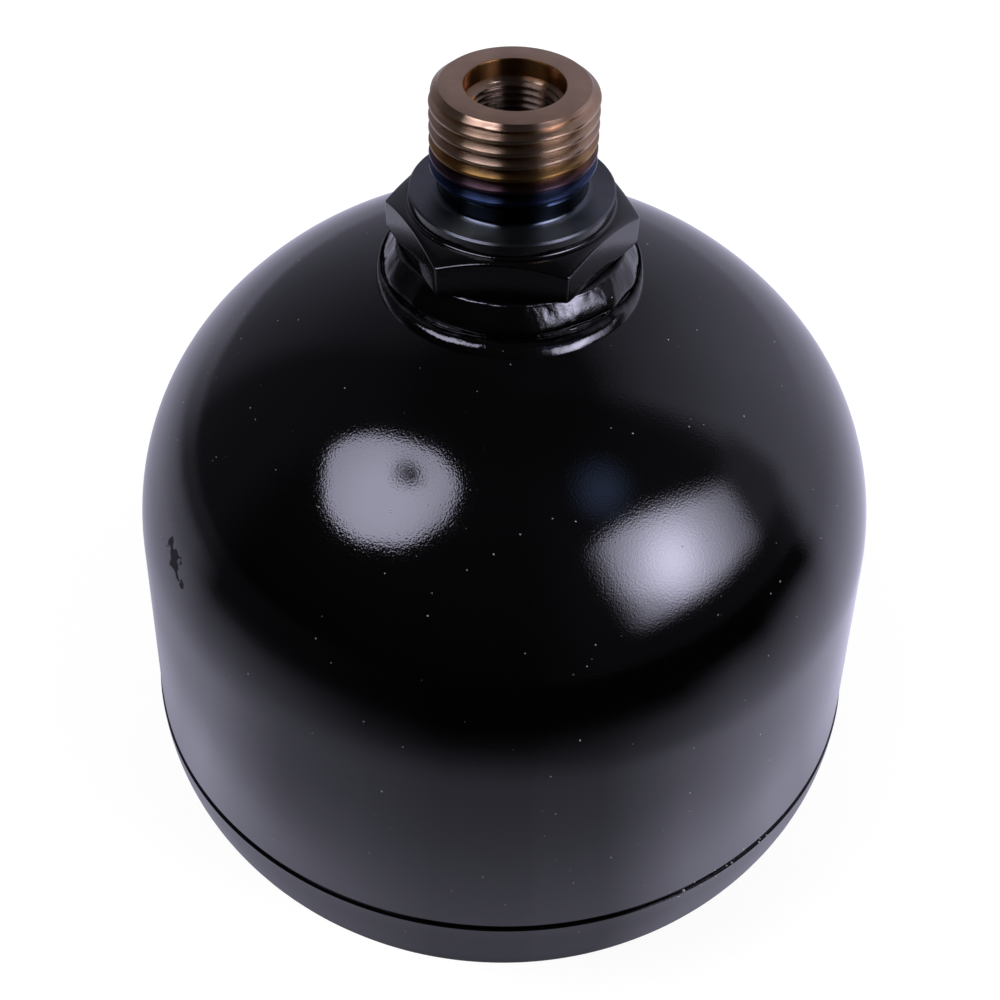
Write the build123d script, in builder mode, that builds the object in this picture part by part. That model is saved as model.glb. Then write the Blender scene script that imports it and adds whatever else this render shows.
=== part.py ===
from build123d import *
from math import acos, atan2, cos, degrees, hypot, radians, sin, sqrt, tan
import os

# Welded diaphragm accumulator, 0.75 litre class.  Every piece is turned about Z.  The foot of the gas
# connection stands on the plane Z = 0 with its centre at the origin, and the fluid connection points up.

# ---- shells: outside radius at the rims, and the draw, knuckle and crown of each half ------------
shell_radius = 58.0               # outside, rim of the lower shell
upper_rim_step = 0.2              # the upper rim stands back by this much
upper_skirt_height = 33.5
upper_skirt_draw = 1.6            # radius that the upper skirt loses over its height
upper_knuckle_centre = 14.75      # radius of the circle that the knuckle arc is centred on
upper_crown_sink = 11.98          # centre of the crown arc, below that of the knuckle
upper_wall = 4.0

lower_skirt_height = 1.2
lower_knuckle_centre = 27.3
lower_crown_sink = 19.07
lower_wall = 4.6

# ---- girth weld ---------------------------------------------------------------------------------
girth_groove_depth = 1.9
girth_groove_half_angle = 12.0
girth_weld_recess = 0.45          # how far the bead lies below the upper shell
girth_weld_crown = 0.12           # bulge of the bead itself

# ---- fluid connection: screwed stud, sealing collar, hexagon, neck ------------------------------
stud_thread_radius = 11.11        # 7/8-14 UNF outside thread, on its crests
stud_length = 15.0
stud_end_reduction = 1.31         # radius lost over the end chamfer
stud_end_chamfer = 1.05
undercut_depth = 1.16             # below the crests
undercut_length = 2.5
undercut_lead_angle = 45.0
undercut_fillet = 0.9
hexagon_across_flats = 30.0
hexagon_height = 5.6
hexagon_chamfer_angle = 30.0
hexagon_face_margin = 0.45        # flats to the edge of the flat ring on top
collar_margin = 1.1               # flats to the side of the collar
collar_height = 2.1
collar_edge = 0.25
collar_foot_fillet = 0.45
neck_radius = 15.0
neck_gap = 3.75                   # hexagon down to the edge of the spot face on the crown

port_thread_radius = 5.46         # M12x1 inside thread, on its crests
port_thread_length = 13.0
mouth_widening = 1.14             # plain mouth over the thread's crests
mouth_depth = 2.45
mouth_cone_angle = 30.0
passage_radius = 4.0
spigot_radius = 10.9
spigot_clearance = 0.1

# Friction-weld flash around the neck: one curl on the neck, one on the shell.
neck_curl_reach = 2.5             # beyond the neck
neck_curl_drop = 1.9              # below the hexagon, at the fullest point of the curl
neck_curl_start = 0.45
flash_valley_reach = 1.8
flash_valley_height = 0.65        # over the crown
flash_toe_reach = 4.7
shell_curl_bulge = 0.75           # of the lower curl, over the chord from valley to toe

# ---- diaphragm, its button and the ring that clamps it ------------------------------------------
diaphragm_gap = 0.3               # between the shell and the rubber lying along it
diaphragm_thickness = 2.0
bead_seat_height = 24.0           # above the girth weld
bead_height = 4.5
bead_hook_height = 2.0
bead_corner = 0.4
bead_clearance = 0.05
ring_clearance = 0.1
ring_lip_thickness = 1.0
ring_depth_in_lower_shell = 6.0
ring_edge = 0.5
button_overlap = 1.1              # beyond the end of the spigot, which the button closes
button_thickness = 2.5
button_edge = 0.4
button_gap = 0.3                  # open play between the button and the end of the spigot
button_clearance = 0.05
button_pad_rim = 4.0
button_pad_thickness = 2.0

# ---- gas connection: foot thread, weld flange, charging screw -----------------------------------
foot_thread_radius = 14.0         # M28x1.5 outside thread, on its crests
foot_thread_length = 8.0          # from the foot, end chamfer included
foot_chamfer = 1.0
foot_undercut_depth = 1.1         # below the crests
foot_undercut_length = 1.6
gas_flange_step = 1.5             # beyond the crests
gas_flange_height = 2.4
gas_spigot_radius = 10.0
gas_spigot_stand = 1.5            # how far the spigot reaches into the vessel
gas_weld_leg = 2.4
gas_passage_radius = 2.0
screw_thread_radius = 5.55        # M12x1.5, mean of crest and root
screw_thread_clearance = 0.05
screw_thread_length = 6.5
screw_hole_runout = 0.6
screw_head_radius = 8.0
screw_head_height = 4.2
screw_head_edge = 0.4
screw_head_clearance = 1.0        # around the head, in the recess
screw_inset = 0.8                 # head below the foot
screw_tip_length = 1.4
screw_tip_radius = 3.2
socket_across_flats = 6.0
socket_depth = 5.0
seal_bore_clearance = 0.35        # around the screw's thread
seal_margin = 0.3                 # beyond the screw's head
seal_thickness = 1.2

HEXAGON_SIDES = 6
MARGIN = 5.0                      # how far cutting tools overshoot


class Dish:
    """Half of the vessel: a skirt, a knuckle arc and a crown arc, each tangent to the next.

    Heights are counted from the girth seam: side is +1 where they run up and -1 where they run down.
    Surfaces inside the outer one are offsets of it, so they share its arc centres."""

    def __init__(self, side, rim_radius, skirt_height, skirt_draw, knuckle_centre, crown_sink):
        self.side = side
        self.rim_radius = rim_radius
        self.lean = atan2(skirt_draw, skirt_height)
        self.knuckle_r = knuckle_centre
        self.knuckle = (rim_radius - skirt_draw - knuckle_centre) / cos(self.lean)
        self.knuckle_h = skirt_height - self.knuckle * sin(self.lean)
        self.crown = self.knuckle + hypot(knuckle_centre, crown_sink)
        self.crown_h = self.knuckle_h - crown_sink
        self.blend = atan2(crown_sink, knuckle_centre)

    def skirt_radius(self, height, inset):
        return self.rim_radius - height * tan(self.lean) - inset / cos(self.lean)

    def crown_height(self, radius, inset=0.0):
        return self.crown_h + sqrt((self.crown - inset) ** 2 - radius**2)

    def z(self, height):
        return seam_z + self.side * height

    def crown_z(self, radius, inset=0.0):
        return self.z(self.crown_height(radius, inset))

    def draw(self, inset, from_height, to_radius=0.0):
        """Draw the meridian from a height on the skirt to a radius on the crown; return its two ends."""
        start = (self.skirt_radius(from_height, inset), self.z(from_height))
        bend = self.knuckle - inset
        skirt_top = (self.knuckle_r + bend * cos(self.lean), self.z(self.knuckle_h + bend * sin(self.lean)))
        Line(start, skirt_top)
        CenterArc(
            (self.knuckle_r, self.z(self.knuckle_h)),
            bend,
            self.side * degrees(self.lean),
            self.side * degrees(self.blend - self.lean),
        )
        finish = acos(to_radius / (self.crown - inset))
        CenterArc(
            (0, self.z(self.crown_h)),
            self.crown - inset,
            self.side * degrees(self.blend),
            self.side * degrees(finish - self.blend),
        )
        return start, (to_radius, self.crown_z(to_radius, inset))


# ---- heights that follow from the sizes above ---------------------------------------------------
upper_rim_radius = shell_radius - upper_rim_step
upper = Dish(
    1,
    upper_rim_radius,
    upper_skirt_height,
    upper_skirt_draw,
    upper_knuckle_centre,
    upper_crown_sink,
)
lower = Dish(-1, shell_radius, lower_skirt_height, 0, lower_knuckle_centre, lower_crown_sink)
gas_flange_radius = foot_thread_radius + gas_flange_step
gas_flange_bottom = foot_thread_length + foot_undercut_length
gas_flange_top = gas_flange_bottom + gas_flange_height
seam_z = gas_flange_top + lower.crown_height(gas_flange_radius)
spot_face_z = upper.crown_z(neck_radius)
hexagon_bottom = spot_face_z + neck_gap
hexagon_top = hexagon_bottom + hexagon_height
collar_face = hexagon_top + collar_height
stud_end = collar_face + stud_length
shell_hole_radius = spigot_radius + spigot_clearance
gas_hole_radius = gas_spigot_radius + spigot_clearance
spigot_end = upper.crown_z(spigot_radius, upper_wall)
gas_spigot_end = lower.crown_z(gas_spigot_radius, lower_wall) + gas_spigot_stand
bead_seat_radius = lower.skirt_radius(0, lower_wall)


def groove_half_width(radius):
    """Half of the girth groove's opening at a radius; its root lies on the seam."""
    root = upper_rim_radius - girth_groove_depth
    return (radius - root) * tan(radians(girth_groove_half_angle))


def cut_girth_groove():
    """Turn the weld preparation, shared by both rims, out of the shell being built."""
    mouth = shell_radius + MARGIN
    with BuildSketch(Plane.XZ) as groove_section:
        with BuildLine():
            Polyline(
                (upper_rim_radius - girth_groove_depth, seam_z),
                (mouth, seam_z - groove_half_width(mouth)),
                (mouth, seam_z + groove_half_width(mouth)),
                close=True,
            )
        make_face()
    revolve(groove_section.sketch, axis=Axis.Z, mode=Mode.SUBTRACT)


def cut_cylinder(radius, from_z, to_z):
    """Bore a round hole between two heights."""
    with BuildSketch(Plane.XY.offset(from_z)) as bore_section:
        Circle(radius)
    extrude(bore_section.sketch, amount=to_z - from_z, mode=Mode.SUBTRACT)


# ---- shells -------------------------------------------------------------------------------------
with BuildPart() as upper_shell:
    with BuildSketch(Plane.XZ):
        with BuildLine():
            outer_rim, outer_hole = upper.draw(0, 0, shell_hole_radius)
            inner_rim, inner_hole = upper.draw(upper_wall, 0, shell_hole_radius)
            Line(outer_rim, inner_rim)
            Line(outer_hole, inner_hole)
        make_face()
    revolve(axis=Axis.Z)
    cut_cylinder(neck_radius, spot_face_z, spot_face_z + MARGIN)
    cut_cylinder(bead_seat_radius, seam_z, seam_z + bead_seat_height)
    cut_girth_groove()

with BuildPart() as lower_shell:
    with BuildSketch(Plane.XZ):
        with BuildLine():
            outer_rim, outer_hole = lower.draw(0, 0, gas_hole_radius)
            inner_rim, inner_hole = lower.draw(lower_wall, 0, gas_hole_radius)
            Line(outer_rim, inner_rim)
            Line(outer_hole, inner_hole)
        make_face()
    revolve(axis=Axis.Z)
    cut_cylinder(gas_flange_radius, gas_flange_top - MARGIN, gas_flange_top)
    cut_cylinder(bead_seat_radius, seam_z - ring_depth_in_lower_shell, seam_z)
    cut_girth_groove()

# The weld fills the V between the rims and stops a little below the paint line of the upper shell.
with BuildPart() as girth_weld:
    bead_edge = upper_rim_radius - girth_weld_recess
    with BuildSketch(Plane.XZ):
        with BuildLine():
            root = (upper_rim_radius - girth_groove_depth, seam_z)
            low_edge = (bead_edge, seam_z - groove_half_width(bead_edge))
            high_edge = (bead_edge, seam_z + groove_half_width(bead_edge))
            Polyline(high_edge, root, low_edge)
            ThreePointArc(low_edge, (bead_edge + girth_weld_crown, seam_z), high_edge)
        make_face()
    revolve(axis=Axis.Z)

# ---- fluid connection ---------------------------------------------------------------------------
with BuildPart() as port_adapter:
    with BuildSketch(Plane.XY.offset(hexagon_bottom)):
        RegularPolygon(hexagon_across_flats / 2, HEXAGON_SIDES, major_radius=False)
    extrude(amount=hexagon_height)
    # The corners are turned off by a cone that starts at the flat ring on top.
    corner_radius = hexagon_across_flats / 2 / cos(radians(180 / HEXAGON_SIDES))
    hexagon_face_radius = hexagon_across_flats / 2 - hexagon_face_margin
    corner_drop = (corner_radius - hexagon_face_radius) * tan(radians(hexagon_chamfer_angle))
    with BuildSketch(Plane.XZ):
        with BuildLine():
            Polyline(
                (0, hexagon_bottom),
                (corner_radius, hexagon_bottom),
                (corner_radius, hexagon_top - corner_drop),
                (hexagon_face_radius, hexagon_top),
                (0, hexagon_top),
                close=True,
            )
        make_face()
    revolve(axis=Axis.Z, mode=Mode.INTERSECT)
    # Stud, undercut and collar above the hexagon.
    collar_radius = hexagon_across_flats / 2 - collar_margin
    undercut_radius = stud_thread_radius - undercut_depth
    lead_in = undercut_depth * tan(radians(undercut_lead_angle))
    with BuildSketch(Plane.XZ):
        with BuildLine():
            Polyline(
                (0, hexagon_top),
                (collar_radius + collar_foot_fillet, hexagon_top),
            )
            RadiusArc(
                (collar_radius + collar_foot_fillet, hexagon_top),
                (collar_radius, hexagon_top + collar_foot_fillet),
                collar_foot_fillet,
            )
            Polyline(
                (collar_radius, hexagon_top + collar_foot_fillet),
                (collar_radius, collar_face - collar_edge),
                (collar_radius - collar_edge, collar_face),
                (undercut_radius + undercut_fillet, collar_face),
            )
            RadiusArc(
                (undercut_radius + undercut_fillet, collar_face),
                (undercut_radius, collar_face + undercut_fillet),
                undercut_fillet,
            )
            Polyline(
                (undercut_radius, collar_face + undercut_fillet),
                (undercut_radius, collar_face + undercut_length),
                (stud_thread_radius, collar_face + undercut_length + lead_in),
                (stud_thread_radius, stud_end - stud_end_chamfer),
                (stud_thread_radius - stud_end_reduction, stud_end),
                (0, stud_end),
                (0, hexagon_top),
            )
        make_face()
    revolve(axis=Axis.Z)
    # Neck and spigot below it.
    with BuildSketch(Plane.XZ):
        with BuildLine():
            Polyline(
                (0, hexagon_bottom),
                (neck_radius, hexagon_bottom),
                (neck_radius, spot_face_z),
                (spigot_radius, spot_face_z),
                (spigot_radius, spigot_end),
                (0, spigot_end),
                close=True,
            )
        make_face()
    revolve(axis=Axis.Z)
    # Stepped bore: mouth, drill cone, inside thread, second cone, passage.
    mouth_radius = port_thread_radius + mouth_widening
    mouth_floor = stud_end - mouth_depth
    thread_mouth = mouth_floor - mouth_widening * tan(radians(mouth_cone_angle))
    thread_end = thread_mouth - port_thread_length
    passage_mouth = thread_end - (port_thread_radius - passage_radius) * tan(radians(mouth_cone_angle))
    with BuildSketch(Plane.XZ):
        with BuildLine():
            Polyline(
                (0, stud_end),
                (mouth_radius, stud_end),
                (mouth_radius, mouth_floor),
                (port_thread_radius, thread_mouth),
                (port_thread_radius, thread_end),
                (passage_radius, passage_mouth),
                (passage_radius, spigot_end),
                (0, spigot_end),
                close=True,
            )
        make_face()
    revolve(axis=Axis.Z, mode=Mode.SUBTRACT)

# Two curls of flash with a valley between them; the underside is the crown of the shell itself.
with BuildPart() as neck_weld_flash:
    curl_top = (neck_radius, hexagon_bottom - neck_curl_start)
    curl_side = (neck_radius + neck_curl_reach, hexagon_bottom - neck_curl_drop)
    valley_radius = neck_radius + flash_valley_reach
    valley = (valley_radius, upper.crown_z(valley_radius) + flash_valley_height)
    toe_radius = neck_radius + flash_toe_reach
    toe = (toe_radius, upper.crown_z(toe_radius))
    with BuildSketch(Plane.XZ):
        with BuildLine():
            TangentArc(curl_side, curl_top, tangent=(0, 1))
            TangentArc(curl_side, valley, tangent=(0, -1))
            SagittaArc(valley, toe, shell_curl_bulge)
            RadiusArc(toe, (neck_radius, spot_face_z), -upper.crown)
            Line((neck_radius, spot_face_z), curl_top)
        make_face()
    revolve(axis=Axis.Z)

# ---- diaphragm, button, clamp ring --------------------------------------------------------------
# The bore of the clamp ring is flush with the rubber, and its lip stands inside the bead's hook.
rubber_top_inset = upper_wall + diaphragm_gap
rubber_bottom_inset = rubber_top_inset + diaphragm_thickness
bead_top = seam_z + bead_seat_height
bead_bottom = bead_top - bead_height
bead_outer_radius = bead_seat_radius - bead_clearance
rubber_inner_radius = upper.skirt_radius(bead_seat_height, rubber_bottom_inset)
lip_outer_radius = rubber_inner_radius + ring_lip_thickness
button_radius = spigot_radius + button_overlap
button_pad_radius = button_radius + button_pad_rim
button_top = spigot_end - button_gap
button_bottom = button_top - button_thickness

with BuildPart() as diaphragm:
    with BuildSketch(Plane.XZ):
        with BuildLine():
            outer_start, outer_top = upper.draw(rubber_top_inset, bead_seat_height)
            inner_start, inner_top = upper.draw(rubber_bottom_inset, bead_seat_height)
            Line(outer_start, inner_start)
            Line(outer_top, inner_top)
        make_face()
    revolve(axis=Axis.Z)
    # Bead with a hook that reaches over the lip of the clamp ring.
    with BuildSketch(Plane.XZ) as bead_section:
        with BuildLine():
            Polyline(
                (bead_outer_radius, bead_bottom),
                (bead_outer_radius, bead_top),
                (rubber_inner_radius, bead_top),
                (rubber_inner_radius, bead_top - bead_hook_height),
                (lip_outer_radius + bead_clearance, bead_top - bead_hook_height),
                (lip_outer_radius + bead_clearance, bead_bottom),
                close=True,
            )
        make_face()
        fillet(bead_section.vertices().group_by(Axis.Y)[0], bead_corner)
    revolve(axis=Axis.Z)
    # Thick pad that the button is moulded into; its rim ends inside the rubber.
    pad_bottom = button_bottom - button_pad_thickness
    with BuildSketch(Plane.XY.offset(pad_bottom)):
        Circle(button_pad_radius)
    extrude(amount=upper.crown_z(button_pad_radius, rubber_top_inset) - pad_bottom)
    cut_cylinder(button_radius + button_clearance, button_bottom, button_top + MARGIN)

with BuildPart() as closing_button:
    with BuildSketch(Plane.XY.offset(button_bottom)):
        Circle(button_radius)
    extrude(amount=button_thickness)
    chamfer(closing_button.edges().group_by(Axis.Z)[-1], button_edge)

with BuildPart() as clamp_ring:
    ring_outer_radius = bead_seat_radius - ring_clearance
    with BuildSketch(Plane.XZ):
        with BuildLine():
            Polyline(
                (rubber_inner_radius, seam_z - ring_depth_in_lower_shell),
                (ring_outer_radius, seam_z - ring_depth_in_lower_shell),
                (ring_outer_radius, bead_bottom),
                (lip_outer_radius, bead_bottom),
                (lip_outer_radius, bead_top - bead_hook_height),
                (rubber_inner_radius, bead_top - bead_hook_height),
                close=True,
            )
        make_face()
    revolve(axis=Axis.Z)
    lip_edges = clamp_ring.edges().group_by(Axis.Z)[-1]
    chamfer(lip_edges.sort_by(SortBy.LENGTH)[0], ring_edge)

# ---- gas connection -----------------------------------------------------------------------------
screw_head_top = screw_inset + screw_head_height
recess_floor = screw_head_top + seal_thickness
screw_tip_start = recess_floor + screw_thread_length
screw_tip_end = screw_tip_start + screw_tip_length
foot_undercut_radius = foot_thread_radius - foot_undercut_depth

with BuildPart() as gas_boss:
    with BuildSketch(Plane.XZ):
        with BuildLine():
            Polyline(
                (0, 0),
                (foot_thread_radius - foot_chamfer, 0),
                (foot_thread_radius, foot_chamfer),
                (foot_thread_radius, foot_thread_length),
                (foot_undercut_radius, foot_thread_length),
                (foot_undercut_radius, gas_flange_bottom),
                (gas_flange_radius, gas_flange_bottom),
                (gas_flange_radius, gas_flange_top),
                (gas_spigot_radius, gas_flange_top),
                (gas_spigot_radius, gas_spigot_end),
                (0, gas_spigot_end),
                close=True,
            )
        make_face()
    revolve(axis=Axis.Z)
    cut_cylinder(screw_head_radius + screw_head_clearance, 0, recess_floor)
    cut_cylinder(screw_thread_radius + screw_thread_clearance, recess_floor, screw_tip_end + screw_hole_runout)
    cut_cylinder(gas_passage_radius, recess_floor, gas_spigot_end + MARGIN)

with BuildPart() as gas_boss_weld:
    with BuildSketch(Plane.XZ):
        with BuildLine():
            weld_foot = (gas_flange_radius, gas_flange_top - gas_weld_leg)
            weld_corner = (gas_flange_radius, gas_flange_top)
            weld_toe = (gas_flange_radius + gas_weld_leg, lower.crown_z(gas_flange_radius + gas_weld_leg))
            Line(weld_foot, weld_corner)
            RadiusArc(weld_corner, weld_toe, -lower.crown)
            Line(weld_toe, weld_foot)
        make_face()
    revolve(axis=Axis.Z)

with BuildPart() as charging_screw:
    with BuildSketch(Plane.XZ):
        with BuildLine():
            Polyline(
                (0, screw_inset),
                (screw_head_radius - screw_head_edge, screw_inset),
                (screw_head_radius, screw_inset + screw_head_edge),
                (screw_head_radius, screw_head_top),
                (screw_thread_radius, screw_head_top),
                (screw_thread_radius, screw_tip_start),
                (screw_tip_radius, screw_tip_end),
                (0, screw_tip_end),
                close=True,
            )
        make_face()
    revolve(axis=Axis.Z)
    with BuildSketch(Plane.XY.offset(screw_inset)):
        RegularPolygon(socket_across_flats / 2, HEXAGON_SIDES, major_radius=False)
    extrude(amount=socket_depth, mode=Mode.SUBTRACT)

with BuildPart() as screw_seal:
    with BuildSketch(Plane.XY.offset(screw_head_top)):
        Circle(screw_head_radius + seal_margin)
        Circle(screw_thread_radius + seal_bore_clearance, mode=Mode.SUBTRACT)
    extrude(amount=seal_thickness)

# ---- files --------------------------------------------------------------------------------------
pieces = {
    "upper_shell": upper_shell,
    "lower_shell": lower_shell,
    "girth_weld": girth_weld,
    "port_adapter": port_adapter,
    "neck_weld_flash": neck_weld_flash,
    "diaphragm": diaphragm,
    "closing_button": closing_button,
    "clamp_ring": clamp_ring,
    "gas_boss": gas_boss,
    "gas_boss_weld": gas_boss_weld,
    "charging_screw": charging_screw,
    "screw_seal": screw_seal,
}
os.makedirs("parts", exist_ok=True)
for name, piece in pieces.items():
    piece.part.label = name
    export_step(piece.part, f"parts/{name}.step")
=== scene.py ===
from math import acos, atan2, cos, degrees, hypot, pi, radians, sin, sqrt, tan

import bmesh
import bpy
import numpy as np
from mathutils import Matrix, Vector, noise


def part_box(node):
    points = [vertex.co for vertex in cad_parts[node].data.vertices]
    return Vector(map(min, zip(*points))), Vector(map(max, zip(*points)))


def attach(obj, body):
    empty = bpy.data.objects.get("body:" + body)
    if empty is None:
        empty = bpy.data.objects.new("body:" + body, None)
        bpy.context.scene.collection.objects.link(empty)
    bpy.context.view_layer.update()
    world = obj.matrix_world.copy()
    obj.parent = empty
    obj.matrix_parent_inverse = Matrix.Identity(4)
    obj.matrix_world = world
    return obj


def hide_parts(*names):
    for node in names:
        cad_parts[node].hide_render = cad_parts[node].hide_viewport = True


# Welded diaphragm accumulator: a pressed steel bottle in gloss black enamel, a bare turned stud with
# heat tints, a painted hexagon on a friction-welded neck, and a threaded gas connection underneath.
# Sizes are in millimetres up to the moment when a mesh is made; Z runs along the vessel's axis.

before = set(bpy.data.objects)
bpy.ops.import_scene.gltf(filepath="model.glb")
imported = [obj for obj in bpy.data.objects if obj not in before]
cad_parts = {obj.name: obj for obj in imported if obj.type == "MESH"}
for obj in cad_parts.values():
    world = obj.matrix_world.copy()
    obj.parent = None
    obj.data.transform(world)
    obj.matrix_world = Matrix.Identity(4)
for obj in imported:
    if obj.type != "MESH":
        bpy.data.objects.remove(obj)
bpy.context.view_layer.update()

MM = 0.001
swing = radians(4.3)  # how far the front of the view stands to the right of the -Y axis


def cad_span(node, axis):
    """Lowest and highest place of a CAD node along one axis, in mm."""
    low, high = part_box(node)
    return low[axis] / MM, high[axis] / MM


# ---- sizes: vessel ------------------------------------------------------------------------------
seam = sum(cad_span("girth_weld", 2)) / 2
shell_radius = cad_span("lower_shell", 0)[1]
upper_rim_radius = shell_radius - 0.2
upper_wall, lower_wall = 4.0, 4.6
groove_depth, groove_half_angle = 1.9, 12.0
bead_recess, bead_crown = 0.45, 0.12
shell_hole_radius, gas_hole_radius = 11.0, 10.1
bead_seat_height, ring_depth = 24.0, 6.0

# ---- sizes: fluid connection --------------------------------------------------------------------
spigot_end, stud_end = cad_span("port_adapter", 2)
stud_length, collar_height, hexagon_height = 15.0, 2.1, 5.6
collar_face = stud_end - stud_length
hexagon_top = collar_face - collar_height
hexagon_bottom = hexagon_top - hexagon_height
stud_crest, stud_root, stud_pitch = 11.11, 10.0, 25.4 / 14
stud_end_reduction, stud_end_chamfer = 1.31, 1.05
undercut_radius, undercut_length, undercut_fillet = 9.95, 2.5, 0.9
collar_radius, collar_edge, collar_foot_fillet = 13.9, 0.25, 0.45
half_flats, hexagon_face_radius, hexagon_chamfer = 15.0, 14.55, 30.0
hexagon_corner_round = 0.5
neck_radius, spigot_radius, liner_radius = 15.0, 10.9, 9.0
port_crest, port_root, port_pitch, port_thread_length = 5.46, 6.0, 1.0, 13.0
mouth_radius, mouth_depth, mouth_cone = 6.6, 2.45, 30.0
bore_finish_radius = 6.75  # the finish of the bore holds inside this
passage_radius = 4.0

# ---- sizes: gas connection ----------------------------------------------------------------------
flange_top = 12.0
foot_crest, foot_root, foot_pitch = 14.0, 13.08, 1.5
foot_chamfer, foot_thread_length, foot_undercut_radius, foot_run_out = 1.0, 8.0, 12.9, 1.4
boss_break = 0.3  # its broken edges
flange_bottom, flange_radius, gas_weld_leg = 9.6, 15.5, 2.4
gas_spigot_radius = 10.0
gas_spigot_end = cad_span("gas_boss", 2)[1]
recess_radius, recess_floor, screw_hole_radius, screw_hole_end = 9.0, 6.2, 5.6, 14.7
gas_passage_radius = 2.0

VESSEL_STEPS, THREAD_STEPS = 288, 240  # round the axis
SKIN_STEP, INNER_STEP = 1.6, 4.0  # along the shells' outsides and insides, in mm


# ---- sections: lists of (radius, height) --------------------------------------------------------
def arc(centre, radius, start, end, steps):
    """Points of an arc in the section's plane, angles in degrees from the outward radius."""
    return [
        (centre[0] + radius * cos(radians(a)), centre[1] + radius * sin(radians(a)))
        for a in np.linspace(start, end, steps + 1)
    ]


def supported(section, margin=0.06):
    """Add points close to the ends of every long run, so that its faces shade as flat as they are."""
    result = []
    for (r0, z0), (r1, z1) in zip(section, section[1:]):
        run = hypot(r1 - r0, z1 - z0)
        result.append((r0, z0))
        if run > 5 * margin:
            near = margin / run
            result += [(r0 + (r1 - r0) * t, z0 + (z1 - z0) * t) for t in (near, 1 - near)]
    return result + section[-1:]


class Dish:
    """Meridian of half the vessel: a drawn skirt, a knuckle arc and a crown arc, tangent in turn."""

    def __init__(self, side, rim, skirt_height, skirt_draw, knuckle_centre, crown_sink):
        self.side, self.rim = side, rim
        self.lean = atan2(skirt_draw, skirt_height)
        self.knuckle_r = knuckle_centre
        self.knuckle = (rim - skirt_draw - knuckle_centre) / cos(self.lean)
        self.knuckle_h = skirt_height - self.knuckle * sin(self.lean)
        self.crown = self.knuckle + hypot(knuckle_centre, crown_sink)
        self.crown_h = self.knuckle_h - crown_sink
        self.blend = atan2(crown_sink, knuckle_centre)

    def skirt_radius(self, height, inset=0.0):
        return self.rim - height * tan(self.lean) - inset / cos(self.lean)

    def crown_z(self, radius, inset=0.0):
        return seam + self.side * (self.crown_h + sqrt((self.crown - inset) ** 2 - radius**2))

    def meridian(self, inset, from_height, to_radius, step):
        """Points from a height on the skirt (or on the knuckle, above it) to a radius on the crown."""
        bend = self.knuckle - inset
        skirt_top = self.knuckle_h + bend * sin(self.lean)
        first = self.lean
        points = []
        if from_height < skirt_top:
            count = max(2, int((skirt_top - from_height) / step))
            heights = np.linspace(from_height, skirt_top, count)[:-1]
            points = [(self.skirt_radius(h, inset), h) for h in heights]
        else:
            first = asin_clamped((from_height - self.knuckle_h) / bend)
        count = max(6, int(bend * (self.blend - first) / step))
        knuckle = arc((self.knuckle_r, self.knuckle_h), bend, degrees(first), degrees(self.blend), count)
        points += knuckle[:-1]
        reach = self.crown - inset
        finish = acos(to_radius / reach)
        count = max(6, int(reach * (finish - self.blend) / step))
        points += arc((0, self.crown_h), reach, degrees(self.blend), degrees(finish), count)
        return [(r, seam + self.side * h) for r, h in points]


def asin_clamped(value):
    return atan2(value, sqrt(max(1e-9, 1 - value * value)))


upper = Dish(1, upper_rim_radius, skirt_height=33.5, skirt_draw=1.6, knuckle_centre=14.75, crown_sink=11.98)
lower = Dish(-1, shell_radius, skirt_height=1.2, skirt_draw=0.0, knuckle_centre=27.3, crown_sink=19.07)
spot_face = upper.crown_z(neck_radius)


def groove_half_width(radius):
    return (radius - (upper_rim_radius - groove_depth)) * tan(radians(groove_half_angle))


# ---- meshes -------------------------------------------------------------------------------------
def rings(section, angles):
    """Radii and heights of a section at every angle; a place in it may be an array over the angles."""
    return [np.array([np.broadcast_to(v, angles.shape) for v in line], float) for line in zip(*section)]


def sheet(radii, heights, angles, rows_per_turn=0):
    """Vertices and faces of rings round Z; with rows per turn the sheet climbs as a helix does."""
    rows, steps = radii.shape
    vertices = np.stack([radii * np.cos(angles), radii * np.sin(angles), heights], -1).reshape(-1, 3)
    row, step = np.meshgrid(np.arange(rows - 1), np.arange(steps), indexing="ij")
    beyond = (step + 1) % steps
    climb = np.where(beyond == 0, rows_per_turn, 0)
    keep = row + climb + 1 < rows
    corners = [row * steps + step, (row + climb) * steps + beyond]
    corners += [(row + climb + 1) * steps + beyond, (row + 1) * steps + step]
    faces = np.stack([c[keep] for c in corners], -1)
    return vertices, faces


def lathed(section, angles, closed=False):
    """Sheet that a section makes when it turns about Z; a closed one also joins its end to its start."""
    return sheet(*rings(section + section[:1] if closed else section, angles), angles)


def thread_sheet(profile, pitch, bottom, top, limit, angles, lead_height=0.0):
    """A real helix: profile(u) gives the radius over one pitch, limit(radius, z) trims it."""
    shares, radii = (np.array(p) for p in zip(*profile))
    turns = int((top - bottom) / pitch) + 4
    start = bottom - 2 * pitch + (lead_height % pitch)
    levels = (start + pitch * (np.arange(turns)[:, None] + shares[None, :])).reshape(-1)
    z = levels[:, None] + pitch * angles[None, :] / (2 * pi)
    r = np.tile(radii, turns)[:, None] * np.ones_like(z)
    z = np.clip(z, bottom, top)
    return sheet(limit(r, z), z, angles, len(shares))


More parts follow.
